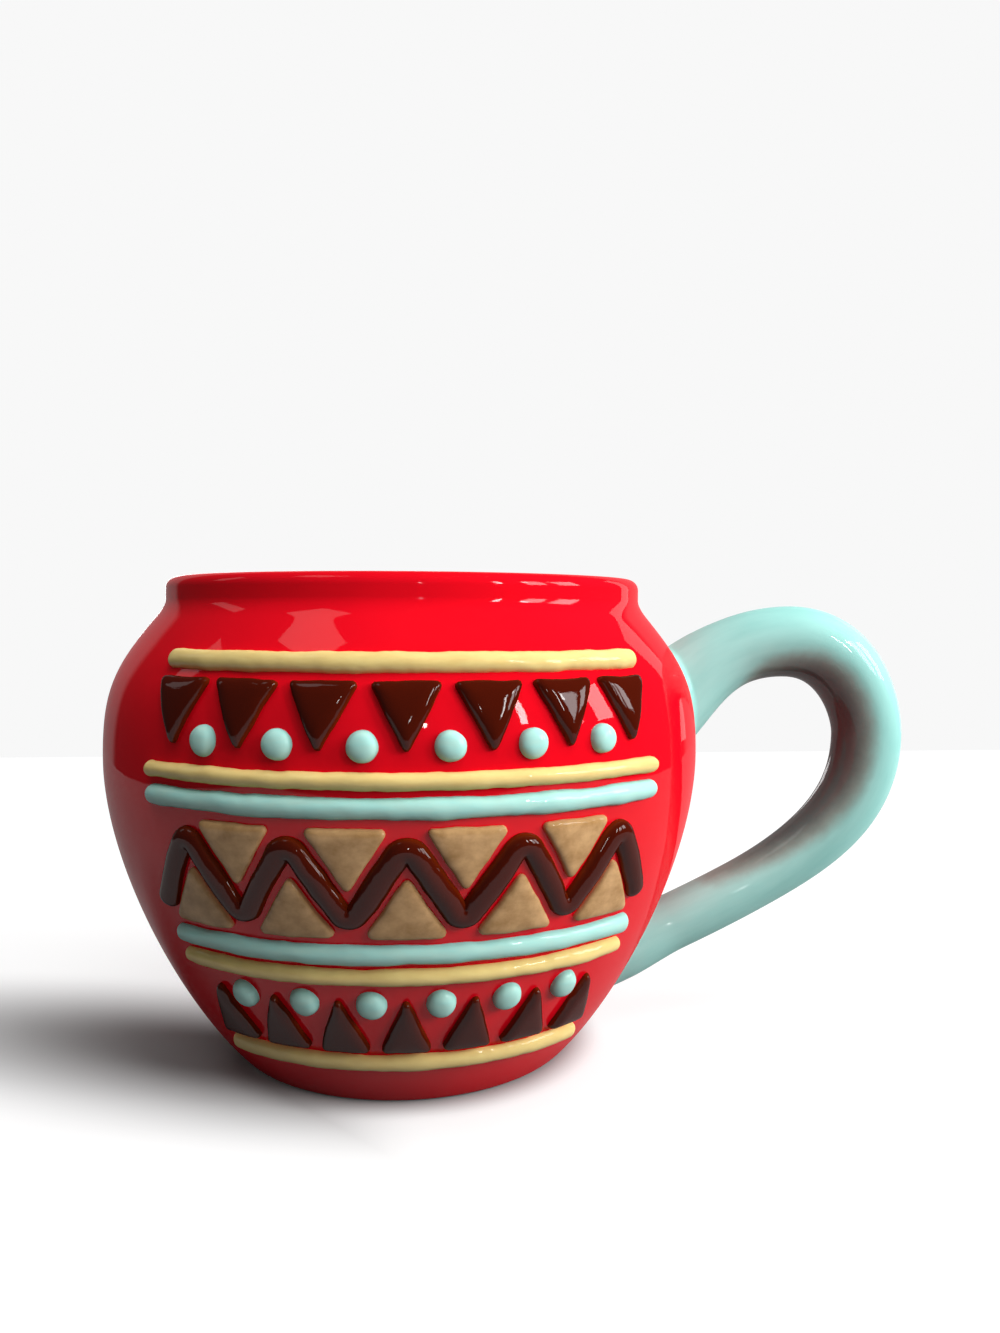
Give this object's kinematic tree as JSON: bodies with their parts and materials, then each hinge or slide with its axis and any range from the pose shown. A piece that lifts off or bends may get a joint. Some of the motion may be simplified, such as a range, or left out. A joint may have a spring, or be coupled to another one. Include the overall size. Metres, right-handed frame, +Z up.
{
  "type": "coffee mug",
  "caption": "Pot-bellied glazed stoneware mug with a short collar rim, a rolled loop handle and a raised slip frieze on its front, for holding hot drinks.",
  "frame": {"origin": "middle of the mug's outline in plan, handle included, on the surface that the foot ring stands on", "axes": "+Z up, +X from the pot towards the handle, -Y the front with the raised frieze"},
  "size_m": [0.151, 0.1094, 0.086],
  "materials": {
    "red_glaze": "deep red glossy glaze, dipped",
    "turquoise_glaze": "pale turquoise glossy glaze, brushed",
    "brown_slip": "very dark brown slip under clear glaze",
    "taupe_slip": "taupe slip, brushed, under clear glaze",
    "cream_slip": "cream slip under clear glaze"
  },
  "bodies": {
    "root": {"mug_body": "red_glaze", "handle": "turquoise_glaze", "upper_turquoise_line": "turquoise_glaze", "upper_inner_line": "cream_slip", "upper_border_line": "cream_slip", "upper_tooth_1": "brown_slip", "upper_tooth_2": "brown_slip", "upper_tooth_3": "brown_slip", "upper_tooth_4": "brown_slip", "upper_tooth_5": "brown_slip", "upper_tooth_6": "brown_slip", "upper_tooth_7": "brown_slip", "upper_dot_1": "turquoise_glaze", "upper_dot_2": "turquoise_glaze", "upper_dot_3": "turquoise_glaze", "upper_dot_4": "turquoise_glaze", "upper_dot_5": "turquoise_glaze", "upper_dot_6": "turquoise_glaze", "lower_turquoise_line": "turquoise_glaze", "lower_inner_line": "cream_slip", "lower_border_line": "cream_slip", "lower_tooth_1": "brown_slip", "lower_tooth_2": "brown_slip", "lower_tooth_3": "brown_slip", "lower_tooth_4": "brown_slip", "lower_tooth_5": "brown_slip", "lower_tooth_6": "brown_slip", "lower_tooth_7": "brown_slip", "lower_dot_1": "turquoise_glaze", "lower_dot_2": "turquoise_glaze", "lower_dot_3": "turquoise_glaze", "lower_dot_4": "turquoise_glaze", "lower_dot_5": "turquoise_glaze", "lower_dot_6": "turquoise_glaze", "zigzag": "brown_slip", "taupe_fill_1": "taupe_slip", "taupe_fill_2": "taupe_slip", "taupe_fill_3": "taupe_slip", "taupe_fill_4": "taupe_slip", "taupe_fill_5": "taupe_slip", "taupe_fill_6": "taupe_slip", "taupe_fill_7": "taupe_slip", "taupe_fill_8": "taupe_slip", "taupe_fill_9": "taupe_slip"}
  },
  "joints": []
}
